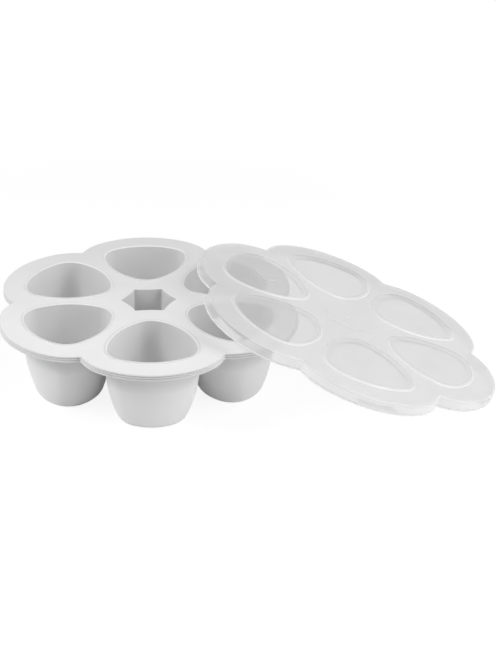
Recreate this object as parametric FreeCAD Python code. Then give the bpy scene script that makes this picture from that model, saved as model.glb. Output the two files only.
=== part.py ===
"""Six-cup freezer tray for baby food, with its lid.

The tray is one moulding of silicone: a flower-shaped flange with a stepped rim, six
rounded-triangle cups that hang from it, and a socket in the middle with six points. The
lid is one moulding of polypropylene: a plate of the same flower shape with a raised panel
over each cup, a skirt that goes round the rim, and a lug at the tip of each lobe that
snaps under the rim. The lid is off: it leans with one side on the tray and the other on
the table.

Millimetres, +Z up. The origin is on the table, under the middle of the tray. The lid
leans down towards +X.
"""
import FreeCAD, Part
import math
import os

from FreeCAD import Placement, Rotation, Vector

# ---------------------------------------------------------------- tray
CUP_COUNT = 6
FIRST_CUP_ANGLE = -90.0      # degrees; the cup at the front
TRAY_RADIUS = 125.0          # middle of the tray to the tip of a lobe
TRAY_HEIGHT = 61.5           # table to the top of the flange
LOBE_TIP_RADIUS = 68.0       # the long arc at the tip of a lobe
LOBE_SHOULDER_RADIUS = 43.0  # the tighter arcs beside it
LOBE_TIP_HALF_ANGLE = 33.0   # degrees that the tip arc spans on each side
NOTCH_RADIUS = 2.0           # round in the notch between two lobes

FLANGE_THICKNESS = 2.4
FLANGE_EDGE_ROUND = 0.8
RIM_DEPTH = 5.1              # top of the flange to the underside of the rim
RIM_WIDTH = 4.5              # how far in the thick rim reaches
RIM_TOP_BAND = 1.3           # height of the upper band of the rim's edge
RIM_MIDDLE_BAND = 1.1
RIM_GROOVE_HEIGHT = 0.7      # the two grooves between the bands
RIM_GROOVE_DEPTH = 1.0

CUP_CENTRE_RADIUS = 74.1     # middle of the tray to the middle of a cup
CUP_REACH = 37.6             # middle of a cup to its rounded corners, at the mouth
CUP_CORNER_RADIUS = 18.0
CUP_SIDE_RADIUS = 54.5       # the long arcs between the corners
CUP_LIP_ROUND = 0.8          # edge of the mouth, on the inside
CUP_WALL = 1.8
CUP_FLOOR = 2.4
CUP_STRAIGHT_DEPTH = 15.2    # height of the straight upper part of the wall
CUP_STRAIGHT_SLOPE = 0.02    # how far a corner of the straight part moves in for each mm down
CUP_BELLY_SLOPE_GAIN = 0.01  # how much that slope grows for each mm down, below the straight part
OUTER_BOTTOM_ROUND = (3.9, 3.0)  # height and reach of the round between wall and floor
INNER_BOTTOM_ROUND = (2.8, 2.2)
BOTTOM_ROUND_PULL = 0.8      # weight of its corner: more makes it tighter

BEAD_WIDTH = 1.6             # sealing bead round each mouth
BEAD_HEIGHT = 0.5
BEAD_CHAMFER = 0.3

SOCKET_TIP_REACH = 22.1      # middle of the tray to the points of the socket
SOCKET_TIP_ROUND = 1.2
SOCKET_SIDE_RADIUS = 60.0    # its sides bend in by this radius
SOCKET_DEPTH = 30.0
SOCKET_WALL = 2.2

# ---------------------------------------------------------------- lid
LID_SCALE = 1.055            # outline of the skirt's lower edge, compared to the tray's
SKIRT_WALL = 1.6
SKIRT_FLARE = 0.6            # how much wider the skirt is at its lower edge
SKIRT_HEIGHT = 9.0           # lower edge of the skirt to the top of the plate
PLATE_THICKNESS = 1.3
PLATE_EDGE_ROUND = 1.8

PANEL_CENTRE_RADIUS = 77.0   # middle of the lid to the middle of a raised panel
PANEL_GROW = 3.2             # how far the foot of a panel reaches past a mouth's outline
PANEL_RISE = 1.2
PANEL_EDGE_REACH = 2.2       # width of a panel's rounded edge
PANEL_RING = 6.2             # foot of a panel to the hollow under it
STAR_RISE = 0.5              # raised star in the middle of the lid
STAR_EDGE_ROUND = 0.3
BOSS_RADIUS = 9.0            # plain round boss on one panel
BOSS_RISE = 0.4
BOSS_EDGE_ROUND = 0.2
BOSS_PANEL_ANGLE = 150.0     # degrees; the panel that carries it

LUG_HALF_ANGLE = 13.0        # degrees of the lobe's tip arc on each side of the tip
LUG_PLAY = 0.2               # underside of the rim to the lug, with the lid closed
LUG_BITE = 0.8               # how far a lug reaches in under the rim
LUG_EDGE = 0.6               # height of a lug's inner edge
LUG_ABOVE_EDGE = 0.3         # lower edge of the skirt to the lower end of a lug

# ---------------------------------------------------------------- leaning lid
LEAN_CENTRE_X = 160.7        # middle of the lid's top
LEAN_CENTRE_Y = -14.1
LEAN_AXIS_ANGLE = 90.6       # degrees; the level line that the lid tips about
LEAN_SPIN = 1.95             # degrees that the lid is turned in its own plane
LEAN_GAP = 0.3               # between the lid and the tray where they meet
LEAN_LIMITS = (5.0, 40.0)    # degrees of tilt to look between
LEAN_STEPS = 12              # halvings of that range
EDGE_SAMPLES = 24            # points on each arc of the skirt when its lowest is looked for

THROUGH = 1.0                # how far a cutting body runs past the face it opens
UP = Vector(0, 0, 1)


# ---------------------------------------------------------------- outlines
# A circle of an outline is (centre, radius, bulge): bulge is 1 where the outline bulges
# out and -1 where it bends in. An arc is (centre, radius, start, end), with angles in
# radians, and runs clockwise where the outline bends in.
def polar(radius, angle, centre=Vector(0, 0, 0)):
    """Point at a radius and an angle in radians round a centre."""
    return centre + Vector(radius * math.cos(angle), radius * math.sin(angle), 0)


def touching_angle(circle, neighbour):
    """Angle, round the circle's centre, of the point where it touches its neighbour."""
    centre, radius, bulge = circle
    other_centre, other_radius, other_bulge = neighbour
    line = other_centre - centre
    if bulge == other_bulge and radius < other_radius:
        line = centre - other_centre
    return math.atan2(line.y, line.x)


def outline(circles):
    """Arcs of the closed outline that follows the circles, each touching the next."""
    arcs = []
    for index, circle in enumerate(circles):
        centre, radius, bulge = circle
        start = touching_angle(circle, circles[index - 1])
        end = touching_angle(circle, circles[(index + 1) % len(circles)])
        sweep = bulge * ((bulge * (end - start)) % (2 * math.pi))
        arcs.append((centre, radius, start, start + sweep))
    return arcs


def lobe_angles():
    """Direction of each lobe, and of the cup in it, in radians."""
    step = 360.0 / CUP_COUNT
    return [math.radians(FIRST_CUP_ANGLE + step * index) for index in range(CUP_COUNT)]


def lobed_outline(scale):
    """The flower shape, at a scale, with the same round in its notches at any scale."""
    circles = []
    tip_radius = LOBE_TIP_RADIUS * scale
    shoulder_radius = LOBE_SHOULDER_RADIUS * scale
    shoulder_turn = math.radians(LOBE_TIP_HALF_ANGLE)
    to_notch = math.pi / CUP_COUNT
    for angle in lobe_angles():
        tip_centre = polar(TRAY_RADIUS * scale - tip_radius, angle)
        shoulders = [
            polar(tip_radius - shoulder_radius, angle + side * shoulder_turn, tip_centre)
            for side in (-1, 1)
        ]
        notch_direction = polar(1, angle + to_notch)
        along = shoulders[1].dot(notch_direction)
        across = shoulders[1].cross(notch_direction).Length
        reach = shoulder_radius + NOTCH_RADIUS
        notch_centre = notch_direction * (along + math.sqrt(reach ** 2 - across ** 2))
        circles.append((shoulders[0], shoulder_radius, 1))
        circles.append((tip_centre, tip_radius, 1))
        circles.append((shoulders[1], shoulder_radius, 1))
        circles.append((notch_centre, NOTCH_RADIUS, -1))
    return outline(circles)


def cup_outline(angle, inset=0, distance=CUP_CENTRE_RADIUS):
    """The rounded triangle of a cup, with one corner towards the middle of the tray.

    At inset 0 it is the mouth. The inset moves the middles of the corners' arcs in, and
    the corners keep their radius.
    """
    middle = polar(distance, angle)
    corner_distance = CUP_REACH - CUP_CORNER_RADIUS
    radius_gain = CUP_SIDE_RADIUS - CUP_CORNER_RADIUS
    half_width = corner_distance * math.sin(math.pi / 3)
    depth = math.sqrt(radius_gain ** 2 - half_width ** 2)
    side_distance = depth - corner_distance * math.cos(math.pi / 3)
    size = 1 - inset / corner_distance
    side_radius = CUP_CORNER_RADIUS + size * radius_gain
    circles = []
    for third in range(3):
        side_angle = angle + third * math.tau / 3
        corner_angle = side_angle + math.pi / 3
        circles.append((polar(-size * side_distance, side_angle, middle), side_radius, 1))
        circles.append((polar(size * corner_distance, corner_angle, middle), CUP_CORNER_RADIUS, 1))
    return outline(circles)


def star_outline(turn):
    """Six points with sides that bend in; turn is the angle of the first point."""
    tip_distance = SOCKET_TIP_REACH - SOCKET_TIP_ROUND
    half_step = math.pi / CUP_COUNT
    reach = SOCKET_SIDE_RADIUS + SOCKET_TIP_ROUND
    across = tip_distance * math.sin(half_step)
    side_distance = tip_distance * math.cos(half_step) + math.sqrt(reach ** 2 - across ** 2)
    circles = []
    for index in range(CUP_COUNT):
        tip_angle = turn + 2 * half_step * index
        circles.append((polar(tip_distance, tip_angle), SOCKET_TIP_ROUND, 1))
        circles.append((polar(side_distance, tip_angle + half_step), SOCKET_SIDE_RADIUS, -1))
    return outline(circles)


def round_outline(radius, middle):
    """A full circle, as two arcs."""
    return [(middle, radius, start, start + math.pi) for start in (0, math.pi)]


# ---------------------------------------------------------------- profiles and bodies
# A profile is a list of stretches, and a stretch is a tuple of points: two for a straight
# one and three for an arc. A point is (offset, z), with the offset outwards from the
# outline that the profile is carried round.
def straight(*points):
    """Straight stretches through the points."""
    return list(zip(points, points[1:]))


def rounded_edge(offset, top, reach, drop):
    """The stretch that leaves a level top and bends down to the offset; reach may be inwards."""
    radius = (reach ** 2 + drop ** 2) / (2 * drop)
    half_turn = math.atan2(drop, abs(reach))
    half_reach = math.copysign(radius * math.sin(half_turn), reach)
    middle = (offset - reach + half_reach, top - radius * (1 - math.cos(half_turn)))
    return [((offset - reach, top), middle, (offset, top - drop))]


def swept_faces(arcs, profile):
    """Faces of the profile carried round the outline, each arc about its own centre."""
    faces = []
    for centre, radius, start, end in arcs:
        outward = math.copysign(1, end - start)
        for stretch in profile:
            points = [polar(radius + outward * offset, start, centre) + UP * z for offset, z in stretch]
            edge = Part.Arc(*points).toShape() if len(points) == 3 else Part.makeLine(*points)
            faces.append(edge.revolve(centre, UP, math.degrees(end - start)))
    return faces


def flat_face(arcs, offset, z):
    """Level face inside the outline, grown by an offset."""
    edges = []
    for centre, radius, start, end in arcs:
        grown = radius + math.copysign(offset, offset * (end - start))
        points = [polar(grown, angle, centre) + UP * z for angle in (start, (start + end) / 2, end)]
        edges.append(Part.Arc(*points).toShape())
    return Part.Face(Part.Wire(edges))


def sewn_solid(faces):
    """Solid that the faces close."""
    shell = Part.makeShell(faces)
    shell.sewShape()
    solid = Part.makeSolid(shell)
    return solid if solid.Volume > 0 else solid.reversed()


def body(arcs, profile):
    """Solid inside the outline, with the profile as its side and level ends."""
    ends = [flat_face(arcs, *profile[0][0]), flat_face(arcs, *profile[-1][-1])]
    return sewn_solid(swept_faces(arcs, profile) + ends)


# ---------------------------------------------------------------- cups
# A cup changes its outline on the way down, so its profile's points are (inset, offset, z),
# with the inset that of cup_outline. A stretch is (points, pull): the control points of a
# curve, and the weight of those between its ends.
def cup_profile(offset, floor, bottom_round):
    """Side of a cup from its mouth to its floor: a straight draft, a belly, a bottom round."""
    round_height, round_reach = bottom_round
    belly_top = TRAY_HEIGHT - CUP_STRAIGHT_DEPTH
    belly_end = floor + round_height
    belly_height = belly_top - belly_end
    end_slope = CUP_STRAIGHT_SLOPE + CUP_BELLY_SLOPE_GAIN * belly_height
    top_inset = CUP_STRAIGHT_SLOPE * CUP_STRAIGHT_DEPTH
    middle_inset = top_inset + CUP_STRAIGHT_SLOPE * belly_height / 2
    end_inset = middle_inset + end_slope * belly_height / 2
    floor_inset = end_inset + end_slope * round_height
    belly = (
        (top_inset, offset, belly_top),
        (middle_inset, offset, (belly_top + belly_end) / 2),
        (end_inset, offset, belly_end),
    )
    bottom = (belly[-1], (floor_inset, offset, floor), (floor_inset, offset - round_reach, floor))
    return [
        (((0, offset, TRAY_HEIGHT), belly[0]), 1),
        (belly, 1),
        (bottom, BOTTOM_ROUND_PULL),
    ]


def spline_face(arcs, offsets, heights, weights):
    """Smooth face through matching arcs, one for each control point of a stretch."""
    start, end = arcs[0][2:]
    spread = math.cos((end - start) / 2)
    across = ((start, 1), ((start + end) / 2, spread), (end, 1))
    poles = [
        [polar((radius + offset) / weight, angle, centre) + UP * z
         for (centre, radius, _, _), offset, z in zip(arcs, offsets, heights)]
        for angle, weight in across
    ]
    pole_weights = [[weight * other for other in weights] for _, weight in across]
    degree = len(arcs) - 1
    surface = Part.BSplineSurface()
    surface.buildFromPolesMultsKnots(
        poles, [3, 3], [degree + 1, degree + 1], [0, 1], [0, 1], False, False, 2, degree, pole_weights,
    )
    return surface.toShape()


def cup_body(angle, profile):
    """Solid of a cup: the profile as its side, level at the mouth and the floor."""
    faces = []
    for points, pull in profile:
        insets, offsets, heights = zip(*points)
        weights = [1] + [pull] * (len(points) - 2) + [1]
        for arcs in zip(*(cup_outline(angle, inset) for inset in insets)):
            faces.append(spline_face(arcs, offsets, heights, weights))
    for inset, offset, z in (profile[0][0][0], profile[-1][0][-1]):
        faces.append(flat_face(cup_outline(angle, inset), offset, z))
    return sewn_solid(faces)


# ---------------------------------------------------------------- tray


def rim_side():
    """Edge of the flange from its top to the underside of the rim, with its two grooves."""
    profile = rounded_edge(0, TRAY_HEIGHT, FLANGE_EDGE_ROUND, FLANGE_EDGE_ROUND)
    corners = [(0, TRAY_HEIGHT - FLANGE_EDGE_ROUND)]
    for groove_depth in (RIM_TOP_BAND, RIM_TOP_BAND + RIM_GROOVE_HEIGHT + RIM_MIDDLE_BAND):
        groove_top = TRAY_HEIGHT - groove_depth
        corners.append((0, groove_top))
        corners.append((-RIM_GROOVE_DEPTH, groove_top - RIM_GROOVE_HEIGHT / 2))
        corners.append((0, groove_top - RIM_GROOVE_HEIGHT))
    corners.append((0, TRAY_HEIGHT - RIM_DEPTH))
    return profile + straight(*corners)


def bead_side():
    """Outer side of the sealing bead, from its top down into the flange."""
    top = TRAY_HEIGHT + BEAD_HEIGHT
    return straight(
        (BEAD_WIDTH - BEAD_CHAMFER, top),
        (BEAD_WIDTH, top - BEAD_CHAMFER),
        (BEAD_WIDTH, TRAY_HEIGHT - FLANGE_THICKNESS / 2),
    )


def lip_side():
    """Side of the opening through the bead, rounded down into the wall of the cavity."""
    top = TRAY_HEIGHT + BEAD_HEIGHT
    return (
        straight((0, top + THROUGH), (0, top))
        + rounded_edge(-CUP_LIP_ROUND, top, -CUP_LIP_ROUND, CUP_LIP_ROUND)
        + straight((-CUP_LIP_ROUND, top - CUP_LIP_ROUND), (-CUP_LIP_ROUND, TRAY_HEIGHT - CUP_LIP_ROUND))
    )


def make_tray():
    """The silicone moulding."""
    flower = lobed_outline(1)
    underside = TRAY_HEIGHT - FLANGE_THICKNESS
    rim_hollow = straight((-RIM_WIDTH, underside), (-RIM_WIDTH, TRAY_HEIGHT - RIM_DEPTH - THROUGH))
    flange = body(flower, rim_side()).cut(body(flower, rim_hollow))

    star = star_outline(0)
    socket_floor = TRAY_HEIGHT - SOCKET_DEPTH
    socket = straight((SOCKET_WALL, TRAY_HEIGHT), (SOCKET_WALL, socket_floor - SOCKET_WALL))
    socket_hollow = straight((0, TRAY_HEIGHT + THROUGH), (0, socket_floor))

    outside = cup_profile(CUP_WALL - CUP_LIP_ROUND, 0, OUTER_BOTTOM_ROUND)
    cavity = cup_profile(-CUP_LIP_ROUND, CUP_FLOOR, INNER_BOTTOM_ROUND)
    added = [body(star, socket)]
    removed = [body(star, socket_hollow)]
    for angle in lobe_angles():
        mouth = cup_outline(angle)
        added += [cup_body(angle, outside), body(mouth, bead_side())]
        removed += [cup_body(angle, cavity), body(mouth, lip_side())]
    return flange.multiFuse(added).cut(removed).removeSplitter()


# ---------------------------------------------------------------- lid
# The lid is drawn level, with the top of its plate at z = 0 and its middle on the Z axis.
# Its outline is that of the skirt's lower edge, and offsets on it are inwards, so negative.
def skirt_offset(depth, into_wall):
    """Offset at a depth under the plate's top, so far into the wall from its outside."""
    return -into_wall - SKIRT_FLARE * (1 - depth / SKIRT_HEIGHT)


def lid_shell():
    """Plate and skirt."""
    flower = lobed_outline(LID_SCALE)
    outer_top = skirt_offset(PLATE_EDGE_ROUND, 0)
    outer = rounded_edge(outer_top, 0, PLATE_EDGE_ROUND, PLATE_EDGE_ROUND)
    outer += straight((outer_top, -PLATE_EDGE_ROUND), (0, -SKIRT_HEIGHT))
    inner = straight(
        (skirt_offset(PLATE_THICKNESS, SKIRT_WALL), -PLATE_THICKNESS),
        (skirt_offset(SKIRT_HEIGHT + THROUGH, SKIRT_WALL), -SKIRT_HEIGHT - THROUGH),
    )
    return body(flower, outer).cut(body(flower, inner))


def lug(angle):
    """Bar inside the skirt at the tip of a lobe: level on top, sloping off below."""
    tip_radius = LOBE_TIP_RADIUS * LID_SCALE
    tip_centre = polar(TRAY_RADIUS * LID_SCALE - tip_radius, angle)
    under_rim = TRAY_RADIUS - LUG_BITE - TRAY_RADIUS * LID_SCALE
    top = PLATE_THICKNESS + BEAD_HEIGHT + RIM_DEPTH + LUG_PLAY
    bottom = SKIRT_HEIGHT - LUG_ABOVE_EDGE
    corners = [
        (skirt_offset(top, SKIRT_WALL / 2), -top),
        (under_rim, -top),
        (under_rim, -top - LUG_EDGE),
        (skirt_offset(bottom, SKIRT_WALL), -bottom),
        (skirt_offset(bottom, SKIRT_WALL / 2), -bottom),
    ]
    start = angle - math.radians(LUG_HALF_ANGLE)
    points = [polar(tip_radius + offset, start, tip_centre) + UP * z for offset, z in corners]
    section = Part.Face(Part.makePolygon(points + points[:1]))
    return section.revolve(tip_centre, UP, 2 * LUG_HALF_ANGLE)


def relief(arcs, offset, top, edge, root):
    """A raised area from its top down to its root; edge is the reach and drop of its round."""
    reach, drop = edge
    side = rounded_edge(offset, top, reach, drop)
    side += straight((offset, top - drop), (offset, root))
    return body(arcs, side)


def make_lid():
    """The polypropylene moulding, level."""
    in_plate = -PLATE_THICKNESS / 2
    pocket_offset = PANEL_GROW - PANEL_RING
    pocket_side = straight(
        (pocket_offset, PANEL_RISE - PLATE_THICKNESS),
        (pocket_offset, -PLATE_THICKNESS - THROUGH),
    )
    star_edge = (STAR_EDGE_ROUND, STAR_EDGE_ROUND)
    panel_edge = (PANEL_EDGE_REACH, PANEL_RISE)
    boss_edge = (BOSS_EDGE_ROUND, BOSS_EDGE_ROUND)
    added = [relief(star_outline(math.pi / CUP_COUNT), 0, STAR_RISE, star_edge, in_plate)]
    removed = []
    for angle in lobe_angles():
        panel = cup_outline(angle, distance=PANEL_CENTRE_RADIUS)
        added.append(relief(panel, PANEL_GROW, PANEL_RISE, panel_edge, in_plate))
        added.append(lug(angle))
        removed.append(body(panel, pocket_side))
    boss = round_outline(BOSS_RADIUS, polar(PANEL_CENTRE_RADIUS, math.radians(BOSS_PANEL_ANGLE)))
    added.append(relief(boss, 0, PANEL_RISE + BOSS_RISE, boss_edge, PANEL_RISE + in_plate))
    return lid_shell().multiFuse(added).cut(removed).removeSplitter()


def leaning_placement(tilt):
    """Where the lid stands at a tilt in degrees, with its lowest point on the table."""
    axis = polar(1, math.radians(LEAN_AXIS_ANGLE))
    turn = Rotation(axis, tilt).multiply(Rotation(UP, LEAN_SPIN))
    shares = [index / EDGE_SAMPLES for index in range(EDGE_SAMPLES + 1)]
    lowest = min(
        turn.multVec(polar(radius, start + (end - start) * share, centre) - UP * SKIRT_HEIGHT).z
        for centre, radius, start, end in lobed_outline(LID_SCALE)
        for share in shares
    )
    return Placement(Vector(LEAN_CENTRE_X, LEAN_CENTRE_Y, -lowest), turn)


def leaning_tilt():
    """The smallest tilt that leaves the gap between the lid's shell and the flange."""
    flange = body(lobed_outline(1), rim_side())
    shell = lid_shell()
    low, high = LEAN_LIMITS
    for step in range(LEAN_STEPS):
        tilt = (low + high) / 2
        shell.Placement = leaning_placement(tilt)
        if shell.distToShape(flange)[0] < LEAN_GAP:
            low = tilt
        else:
            high = tilt
    return high


tray = make_tray()
lid = make_lid()
lid.Placement = leaning_placement(leaning_tilt())

os.makedirs("parts", exist_ok=True)
for name, shape in (("silicone_tray", tray), ("lid", lid)):
    shape.exportStep("parts/" + name + ".step")
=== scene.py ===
import math

import bpy
from mathutils import Matrix, Vector


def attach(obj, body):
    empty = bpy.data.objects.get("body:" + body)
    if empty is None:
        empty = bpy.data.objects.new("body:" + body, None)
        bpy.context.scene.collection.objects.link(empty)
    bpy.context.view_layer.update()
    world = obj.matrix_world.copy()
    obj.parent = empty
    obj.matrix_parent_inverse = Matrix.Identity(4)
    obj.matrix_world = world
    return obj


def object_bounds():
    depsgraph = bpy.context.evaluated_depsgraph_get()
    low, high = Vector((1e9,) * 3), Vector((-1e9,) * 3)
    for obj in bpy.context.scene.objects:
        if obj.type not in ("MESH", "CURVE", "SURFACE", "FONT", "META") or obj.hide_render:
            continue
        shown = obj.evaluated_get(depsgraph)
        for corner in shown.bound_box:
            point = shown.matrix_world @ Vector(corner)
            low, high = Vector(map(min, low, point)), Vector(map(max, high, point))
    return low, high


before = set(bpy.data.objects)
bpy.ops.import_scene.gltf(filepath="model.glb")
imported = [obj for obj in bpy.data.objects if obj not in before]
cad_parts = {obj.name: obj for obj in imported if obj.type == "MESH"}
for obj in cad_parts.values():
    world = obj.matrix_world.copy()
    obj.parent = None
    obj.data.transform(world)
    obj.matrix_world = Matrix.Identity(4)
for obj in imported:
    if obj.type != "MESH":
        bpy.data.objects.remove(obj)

CAD_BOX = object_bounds()
MM = 0.001

# ---------------------------------------------------------------- camera
IMAGE_HEIGHT = 664                              # pixels, the long side of the picture
SENSOR = 36.0                                   # millimetres on the long side
CAMERA_PLACE = Vector((-0.0321, -1.0100, 0.5589))
CAMERA_YAW = 0.1117                             # radians, from +Y towards +X
CAMERA_PITCH = 0.4796                           # radians below the horizon
CAMERA_ROLL = 0.0318                            # radians
FOCAL_PIXELS = 1394.7                           # focal length in pixels of the picture

# ---------------------------------------------------------------- light and floor
WORLD_STRENGTH = 0.17                           # light from all round, where a white background is 1
LAMP_TARGET = Vector((0.06, 0.0, 0.03))
LAMPS = {                                       # place, width, power in watts
    "left_lamp": ((-1.4, 0.0, 0.35), 0.7, 3.1),
    "right_front_lamp": ((1.3, -0.9, 0.5), 0.7, 6.2),
    "left_high_lamp": ((-1.0, -0.3, 1.1), 0.7, 10.9),
    "right_high_lamp": ((1.0, -0.3, 1.1), 0.7, 9.1),
    "right_front_high_lamp": ((0.8, -0.8, 1.1), 0.7, 1.0),
}
FLOOR_SIZE = 14.0
FLOOR_DROP = 0.05 * MM                          # lowest point of the part to the floor
FLOOR_TONE = 0.76
FLOOR_GLOW = 1.1                                # strength of the white that the floor shows
GLOW_SHARES = (0.80, 1.0)                       # share of it that shows, near the part and far from it
GLOW_DISTANCES = (0.4, 0.9)                     # near and far, from the middle of the tray

# ---------------------------------------------------------------- finishes
NOISE_SPAN = (0.3, 0.7)                         # nearly all values of a noise lie in it
CLOUD_DETAIL = 2.0
GRAIN_DETAIL = 3.0
SILICONE_SURFACE = {                            # metres across: clouding, changes in roughness, grain
    "clouds": 45 * MM, "patches": 8 * MM, "grain": 0.35 * MM,
    "grain_strength": 0.25, "grain_depth": 0.03 * MM, "refraction": 1.41,
}
SILICONE_ROUGHNESSES = (0.5, 0.6)
SILICONE_TONES = {                              # the darkest and lightest clouding of each finish, lit and shaded copies of one silicone
    "silicone": (0.77, 0.80),
    # painted light: a lighter copy of the silicone on the flange's top
    "silicone_flange_painted_light": (0.88, 0.91),
    # painted light and shade: a lighter copy of the silicone on the cups' outside walls, darkened under the
    # rim
    "silicone_outside_painted_light_and_shade": (0.93, 0.95),
    # painted shade: a darker copy of the silicone on the walls of the socket
    "silicone_socket_painted_shade": (0.73, 0.76),
    # painted highlight: a lighter copy of the silicone on the mouths' rounded edges
    "silicone_lip_painted_highlight": (0.92, 0.95),
}
SHADES = {                                      # painted shade: axis, two places on it, share of the tone left at each
    # painted shade under the rim, over the upper part of the cups' outside walls
    "silicone_outside_painted_light_and_shade": ("Z", (50.0 * MM, 34.0 * MM), (0.76, 1.0)),
    # painted shade: the flange darker towards its back, where the lamps' light falls off
    "silicone_flange_painted_light": ("Y", (110.0 * MM, -40.0 * MM), (0.88, 1.0)),
}
LID_SURFACE = {
    "clouds": 30 * MM, "patches": 12 * MM, "grain": 0.4 * MM,
    "grain_strength": 0.1, "grain_depth": 0.01 * MM, "refraction": 1.49,
}
LID_FINISHES = {                                # tones, roughnesses, how solid each face looks
    "lid_plate": ((0.74, 0.77), (0.45, 0.55), 0.64),
    "lid_window": ((0.60, 0.63), (0.35, 0.45), 0.40),
    # painted highlight: a lighter, more solid finish along the panels' edges
    "lid_edge_painted_highlight": ((0.84, 0.87), (0.30, 0.40), 0.75),
    "lid_skirt": ((0.78, 0.82), (0.35, 0.45), 0.30),
    # painted highlight along the skirt's lower rim faces
    "lid_lip_painted_highlight": ((0.95, 0.97), (0.30, 0.40), 0.85),
}
LIGHT_PASSED = 0.74                             # share of the lamps' light that goes on through the lid
SKIRT_EDGE = (0.5 * MM, 1.1 * MM)               # over the skirt's lower edge: solid and lighter below, a painted highlight, clear above
SKIRT_EDGE_SOLIDITY = 0.9
# painted highlight: the tone along the skirt's lower edge
SKIRT_EDGE_HIGHLIGHT_TONE = 0.96

# ---------------------------------------------------------------- regions of the tray
CUP_COUNT = 6
FIRST_CUP = -90                                 # degrees round from +X
CUP_CENTRE_RADIUS = 74.1 * MM                   # middle of the tray to the middle of a cup
SOCKET_REACH = 30 * MM                          # middle of the tray to past its socket's walls
RIM_DEPTH = 5.1 * MM                            # top of the flange to the underside of the rim
BEAD_HEIGHT = 0.5 * MM                          # sealing bead round each mouth, over the flange's top
LIP_DEPTH = 0.45 * MM                           # rounded edge of a mouth, under the flange's top, which gets a painted highlight

# ---------------------------------------------------------------- regions of the lid
# Heights are over the top of the plate, along the lid's own upward line. A lean is the share
# of that line in a face's normal.
LEVEL = 0.999                                   # least lean of a level face, also on the tray
STEEP = 0.5                                     # most lean of a wall
UPRIGHT = 0.05                                  # most lean of an upright wall
EDGE_LEAN = 0.85                                # most lean of the outer part of a panel's edge, which gets a painted highlight
SAME_HEIGHT = 0.02 * MM                         # heights that differ by less are taken as one
STAR_REACH = 25 * MM                            # middle of the lid to past the star on it
PLATE_MIDDLE = -0.7 * MM                        # below the tops of the hollows, above the plate's underside
SKIRT_TOP = -1.35 * MM

# ---------------------------------------------------------------- gate mark
GATE_RINGS = ((1.3, -0.1), (1.2, 0.1), (0.9, 0.25), (0.4, 0.32))    # radius and height in millimetres
GATE_CORNERS = 20


# ---------------------------------------------------------------- helpers
def add_object(name, data):
    """An object in the scene with this mesh, lamp or camera."""
    thing = bpy.data.objects.new(name, data)
    bpy.context.scene.collection.objects.link(thing)
    return thing


def new_material(name):
    """A material without nodes, and its node tree."""
    material = bpy.data.materials.new(name)
    material.use_nodes = True
    material.node_tree.nodes.clear()
    return material, material.node_tree


def add_node(tree, kind, values=None, **settings):
    """A node with its settings, and its inputs set to values or linked to sockets."""
    node = tree.nodes.new(kind)
    for name, value in settings.items():
        setattr(node, name, value)
    for name, value in (values or {}).items():
        if isinstance(value, bpy.types.NodeSocket):
            tree.links.new(value, node.inputs[name])
        else:
            node.inputs[name].default_value = value
    return node


def noise(tree, place, size, detail=CLOUD_DETAIL):
    """Noise whose lumps are about so many metres across."""
    values = {"Vector": place, "Scale": 1 / size, "Detail": detail}
    return add_node(tree, "ShaderNodeTexNoise", values).outputs["Fac"]


def ramp(tree, value, places, results, **settings):
    """A number that goes from one result to the other as the value goes between the places."""
    values = {
        "Value": value,
        "From Min": places[0], "From Max": places[1],
        "To Min": results[0], "To Max": results[1],
    }
    return add_node(tree, "ShaderNodeMapRange", values, **settings).outputs["Result"]


def mixed(tree, kind, factor, low, high):
    """Two colours or numbers mixed by the factor."""
    values = {"Factor": factor, "A": low, "B": high}
    return add_node(tree, "ShaderNodeMix", values, data_type=kind).outputs["Result"]


def mixed_shader(tree, factor, low, high):
    """Two shaders mixed by the factor."""
    return add_node(tree, "ShaderNodeMixShader", {0: factor, 1: low, 2: high}).outputs[0]


def either(tree, one, other):
    """1 where one or the other is 1."""
    values = {0: one, 1: other}
    return add_node(tree, "ShaderNodeMath", values, operation="ADD", use_clamp=True).outputs[0]


def product(tree, one, other):
    """Two numbers multiplied."""
    return add_node(tree, "ShaderNodeMath", {0: one, 1: other}, operation="MULTIPLY").outputs[0]


def grey(tone):
    """A grey as red, green, blue and alpha."""
    return (tone, tone, tone, 1)


# ---------------------------------------------------------------- plastics
def clouded(tree, place, surface, tones):
    """A grey with faint clouding between two tones."""
    clouds = ramp(tree, noise(tree, place, surface["clouds"]), NOISE_SPAN, (0, 1))
    return mixed(tree, "RGBA", clouds, grey(tones[0]), grey(tones[1]))


def moulded(tree, place, surface, colour, roughnesses):
    """What both plastics share: the colour, patches of roughness, a fine grain and the refraction."""
    bump = add_node(tree, "ShaderNodeBump", {
        "Height": noise(tree, place, surface["grain"], GRAIN_DETAIL),
        "Strength": surface["grain_strength"],
        "Distance": surface["grain_depth"],
    })
    return {
        "Base Color": colour,
        "Roughness": ramp(tree, noise(tree, place, surface["patches"]), NOISE_SPAN, roughnesses),
        "Normal": bump.outputs["Normal"],
        "IOR": surface["refraction"],
    }


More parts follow.
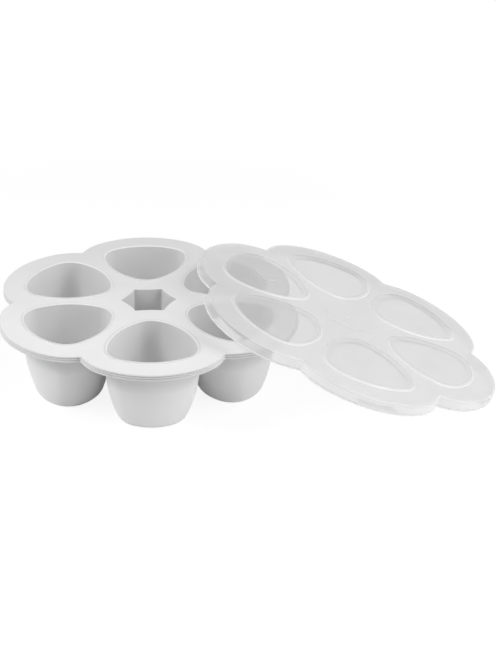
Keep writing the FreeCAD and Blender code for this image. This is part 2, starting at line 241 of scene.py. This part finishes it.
def silicone(name):
    """Matt moulded silicone with faint clouding and a fine spark-eroded grain."""
    material, tree = new_material(name)
    place = add_node(tree, "ShaderNodeTexCoord").outputs["Object"]
    colour = clouded(tree, place, SILICONE_SURFACE, SILICONE_TONES[name])
    # painted shade along an axis: under the rim, and at the back of the flange
    if name in SHADES:
        colour = shaded(tree, colour, place, *SHADES[name])
    shader = add_node(tree, "ShaderNodeBsdfPrincipled", {
        **moulded(tree, place, SILICONE_SURFACE, colour, SILICONE_ROUGHNESSES),
        "Specular IOR Level": 0.2,
        "Subsurface Weight": 0.2,
        "Subsurface Radius": (1.0, 1.0, 1.0),
        "Subsurface Scale": 2.5 * MM,
    })
    add_node(tree, "ShaderNodeOutputMaterial", {"Surface": shader.outputs["BSDF"]})
    return material


def shaded(tree, colour, place, axis, places, shares):
    """The colour, darkened towards one end of an axis as painted shade: under the rim, and at the back of
    the flange.
    """
    distance = add_node(tree, "ShaderNodeSeparateXYZ", {"Vector": place}).outputs[axis]
    values = {0: colour, "Scale": ramp(tree, distance, places, shares)}
    return add_node(tree, "ShaderNodeVectorMath", values, operation="SCALE").outputs["Vector"]


def polypropylene(name, normal, lower_edge):
    """Translucent polypropylene with faint flow clouding and a fine grain, that light passes through."""
    tones, roughnesses, solidity = LID_FINISHES[name]
    material, tree = new_material(name)
    place = add_node(tree, "ShaderNodeTexCoord").outputs["Object"]
    colour = clouded(tree, place, LID_SURFACE, tones)
    # painted highlight: the skirt lighter along its lower edge, and more solid there
    if name == "lid_skirt":
        edge = skirt_edge_solidity_and_highlight(tree, place, normal, lower_edge)
        colour = mixed(tree, "RGBA", edge, colour, grey(SKIRT_EDGE_HIGHLIGHT_TONE))
        solidity = mixed(tree, "FLOAT", edge, solidity, SKIRT_EDGE_SOLIDITY)
    shader = add_node(tree, "ShaderNodeBsdfPrincipled", {
        **moulded(tree, place, LID_SURFACE, colour, roughnesses),
        "Alpha": solidity,
    })
    path = add_node(tree, "ShaderNodeLightPath").outputs
    passed = product(tree, either(tree, path["Is Shadow Ray"], path["Is Diffuse Ray"]), LIGHT_PASSED)
    clear = add_node(tree, "ShaderNodeBsdfTransparent").outputs[0]
    both = mixed_shader(tree, passed, shader.outputs[0], clear)
    add_node(tree, "ShaderNodeOutputMaterial", {"Surface": both})
    return material


def skirt_edge_solidity_and_highlight(tree, place, normal, lower_edge):
    """1 along the skirt's lower edge, where one looks along its wall, and 0 above it: more solid there, and
    a painted highlight.
    """
    height = add_node(tree, "ShaderNodeVectorMath", {0: place, 1: normal}, operation="DOT_PRODUCT")
    places = [lower_edge + over for over in SKIRT_EDGE]
    return ramp(tree, height.outputs["Value"], places, (1.0, 0.0))


def dress(node, *materials):
    """Gives a carried-over solid its materials."""
    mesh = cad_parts[node].data
    mesh.materials.clear()
    for material in materials:
        mesh.materials.append(material)
    return mesh


# ---------------------------------------------------------------- tray
def faces_a_cup(face):
    """True if a face looks in at the cup that is nearest to it."""
    turns = (math.radians(FIRST_CUP + 360 / CUP_COUNT * number) for number in range(CUP_COUNT))
    centres = (Vector((math.cos(turn), math.sin(turn))) * CUP_CENTRE_RADIUS for turn in turns)
    inwards = min((centre - face.center.xy for centre in centres), key=lambda way: way.length)
    return inwards.dot(face.normal.xy) > 0


def tray_region(face, depth):
    """Name of the finish of a face, from its depth under the flange's top and how it looks."""
    level = face.normal.z > LEVEL
    if not level and faces_a_cup(face):
        return "silicone_lip_painted_highlight" if depth < LIP_DEPTH else "silicone"
    if level and abs(depth) < SAME_HEIGHT:
        return "silicone_flange_painted_light"
    if face.center.xy.length < SOCKET_REACH:
        # the socket's walls get painted shade
        return "silicone_socket_painted_shade" if depth > 0 else "silicone"
    # the cups' outside walls get painted shade under the rim
    return "silicone_outside_painted_light_and_shade" if depth > RIM_DEPTH else "silicone"


def dress_tray():
    """Gives the tray's flange, mouth edges, cups and socket their own finishes, lit and shaded copies of
    one silicone: painted light, shade and highlights.
    """
    names = list(SILICONE_TONES)
    mesh = dress("silicone_tray", *(silicone(name) for name in names))
    flange_top = max(vertex.co.z for vertex in mesh.vertices) - BEAD_HEIGHT
    for face in mesh.polygons:
        face.material_index = names.index(tray_region(face, flange_top - face.center.z))


# ---------------------------------------------------------------- lid
def plate_normal(mesh):
    """The lid's own upward line, which more of its area that looks up faces than any other way."""
    sums = {}
    for face in mesh.polygons:
        if face.normal.z > 0:
            way = tuple(round(value, 1) for value in face.normal)
            sums[way] = sums.get(way, Vector()) + face.normal * face.area
    return max(sums.values(), key=lambda total: total.length).normalized()


def top_heights(mesh, normal):
    """The two heights along the normal with the most area: the plate's top, then the panels' tops."""
    areas = {}
    for face in mesh.polygons:
        if face.normal.dot(normal) > LEVEL:
            height = round(face.center.dot(normal) / SAME_HEIGHT) * SAME_HEIGHT
            areas[height] = areas.get(height, 0) + face.area
    return sorted(sorted(areas, key=areas.get)[-2:])


def lid_region(lean, height, panel_height, reach):
    """Name of the finish of a face, from its lean, its height and how far out it is."""
    level = abs(lean) > LEVEL
    if height > SAME_HEIGHT:
        if level and height > panel_height - SAME_HEIGHT:
            return "lid_window" if reach > STAR_REACH else "lid_plate"
        # the panels' edges get a painted highlight
        return "lid_edge_painted_highlight" if lean < EDGE_LEAN and reach > STAR_REACH else "lid_plate"
    hollow_top = level and lean < 0 and height > PLATE_MIDDLE
    hollow_side = abs(lean) < UPRIGHT and height > SKIRT_TOP
    if hollow_top or hollow_side:
        return "lid_window"
    if height > SKIRT_TOP:
        return "lid_plate"
    return "lid_skirt" if abs(lean) < STEEP else "lid_lip_painted_highlight"


def dress_lid():
    """Gives the lid's plate, clear panels, edges, skirt and lips their own finishes, with painted
    highlights on the edges and lips, and its gate mark.
    """
    names = list(LID_FINISHES)
    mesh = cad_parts["lid"].data
    normal = plate_normal(mesh)
    lower_edge = min(vertex.co.dot(normal) for vertex in mesh.vertices)
    dress("lid", *(polypropylene(name, normal, lower_edge) for name in names))
    plate_top, panel_top = top_heights(mesh, normal)
    corners = [vertex.co for vertex in mesh.vertices]
    middle = sum(corners, Vector()) / len(corners)
    for face in mesh.polygons:
        height = face.center.dot(normal) - plate_top
        out = face.center - middle
        reach = (out - normal * out.dot(normal)).length
        region = lid_region(face.normal.dot(normal), height, panel_top - plate_top, reach)
        face.material_index = names.index(region)
    add_gate_mark(mesh, normal, star_top(mesh, normal, plate_top, panel_top, middle))


def star_top(mesh, normal, plate_top, panel_top, middle):
    """Middle of the top of the star, which lies between the plate's top and the panels' tops."""
    centre, total = Vector(), 0.0
    for face in mesh.polygons:
        height = face.center.dot(normal)
        on_star = plate_top + SAME_HEIGHT < height < panel_top - SAME_HEIGHT
        near = (face.center - middle).length < STAR_REACH
        if on_star and near and face.normal.dot(normal) > LEVEL:
            centre += face.center * face.area
            total += face.area
    centre /= total
    return centre


def add_gate_mark(lid_mesh, normal, centre):
    """The small dome that the mould's gate leaves in the middle of the star on the lid."""
    mesh = dome("gate_mark", normal, centre)
    # painted highlight: the gate mark's dome takes the lighter finish of the panels' edges
    mesh.materials.append(lid_mesh.materials["lid_edge_painted_highlight"])
    mesh.shade_smooth()
    gate_mark = add_object("gate_mark", mesh)
    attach(gate_mark, "lid")


def dome(name, normal, centre):
    """A closed mesh of rings of corners, one over the other."""
    across = normal.orthogonal().normalized()
    along = normal.cross(across)
    points = []
    for radius, height in GATE_RINGS:
        for corner in range(GATE_CORNERS):
            turn = 2 * math.pi * corner / GATE_CORNERS
            way = across * math.cos(turn) + along * math.sin(turn)
            points.append(centre + (way * radius + normal * height) * MM)
    top_ring = len(points) - GATE_CORNERS
    faces = [tuple(reversed(range(GATE_CORNERS)))]
    for ring in range(0, top_ring, GATE_CORNERS):
        for corner in range(GATE_CORNERS):
            low = ring + corner
            after = ring + (corner + 1) % GATE_CORNERS
            faces.append((low, after, after + GATE_CORNERS, low + GATE_CORNERS))
    faces.append(tuple(range(top_ring, len(points))))
    mesh = bpy.data.meshes.new(name)
    mesh.from_pydata(points, [], faces)
    return mesh


# ---------------------------------------------------------------- stage
def seen_ray(tree):
    """1 for a ray that shows the background: from the camera, a reflection or through the lid."""
    path = add_node(tree, "ShaderNodeLightPath").outputs
    seen = either(tree, path["Is Camera Ray"], path["Is Glossy Ray"])
    return either(tree, seen, path["Is Transmission Ray"])


def floor_material():
    """Pale floor that shows as white, less so near the part, where its shadow falls."""
    material, tree = new_material("floor")
    place = add_node(tree, "ShaderNodeTexCoord").outputs["Object"]
    distance = add_node(tree, "ShaderNodeVectorMath", {0: place}, operation="LENGTH").outputs["Value"]
    share = ramp(tree, distance, GLOW_DISTANCES, GLOW_SHARES, interpolation_type="SMOOTHSTEP")
    shown = product(tree, seen_ray(tree), share)
    diffuse = add_node(tree, "ShaderNodeBsdfDiffuse", {"Color": grey(FLOOR_TONE)}).outputs[0]
    glow = add_node(tree, "ShaderNodeEmission", {"Strength": FLOOR_GLOW}).outputs[0]
    add_node(tree, "ShaderNodeOutputMaterial", {"Surface": mixed_shader(tree, shown, diffuse, glow)})
    return material


def make_floor():
    """One large level sheet under the part."""
    half = FLOOR_SIZE / 2
    mesh = bpy.data.meshes.new("floor")
    corners = [(-half, -half, 0), (half, -half, 0), (half, half, 0), (-half, half, 0)]
    mesh.from_pydata(corners, [], [(0, 1, 2, 3)])
    mesh.materials.append(floor_material())
    floor = add_object("floor", mesh)
    floor.location = (0, 0, CAD_BOX[0].z - FLOOR_DROP)


def make_world():
    """Even white light from all round, and a white background."""
    world = bpy.data.worlds.new("studio")
    world.use_nodes = True
    tree = world.node_tree
    tree.nodes.clear()
    background = add_node(tree, "ShaderNodeBackground", {
        "Color": grey(1),
        "Strength": ramp(tree, seen_ray(tree), (0, 1), (WORLD_STRENGTH, 1)),
    })
    add_node(tree, "ShaderNodeOutputWorld", {"Surface": background.outputs[0]})
    bpy.context.scene.world = world


def make_lamps():
    """Soft lamps at both sides, low and high, turned to the part."""
    for name, (place, width, power) in LAMPS.items():
        light = bpy.data.lights.new(name, "AREA")
        light.size = width
        light.energy = power
        lamp = add_object(name, light)
        lamp.location = place
        lamp.rotation_euler = (LAMP_TARGET - lamp.location).to_track_quat("-Z", "Y").to_euler()
        lamp.visible_camera = False


def make_camera():
    """The camera that took the picture, from the fitted perspective."""
    forward = Vector((
        math.sin(CAMERA_YAW) * math.cos(CAMERA_PITCH),
        math.cos(CAMERA_YAW) * math.cos(CAMERA_PITCH),
        -math.sin(CAMERA_PITCH),
    ))
    level = Vector((math.cos(CAMERA_YAW), -math.sin(CAMERA_YAW), 0))
    right = Matrix.Rotation(-CAMERA_ROLL, 3, forward) @ level
    up = right.cross(forward)
    turn = Matrix((right, up, -forward)).transposed()
    data = bpy.data.cameras.new("camera")
    data.sensor_width = SENSOR
    data.lens = FOCAL_PIXELS / IMAGE_HEIGHT * SENSOR
    camera = add_object("camera", data)
    camera.matrix_world = Matrix.Translation(CAMERA_PLACE) @ turn.to_4x4()
    bpy.context.scene.camera = camera


dress_tray()
dress_lid()
make_floor()
make_world()
make_lamps()
make_camera()
bpy.context.scene.view_settings.view_transform = "Standard"
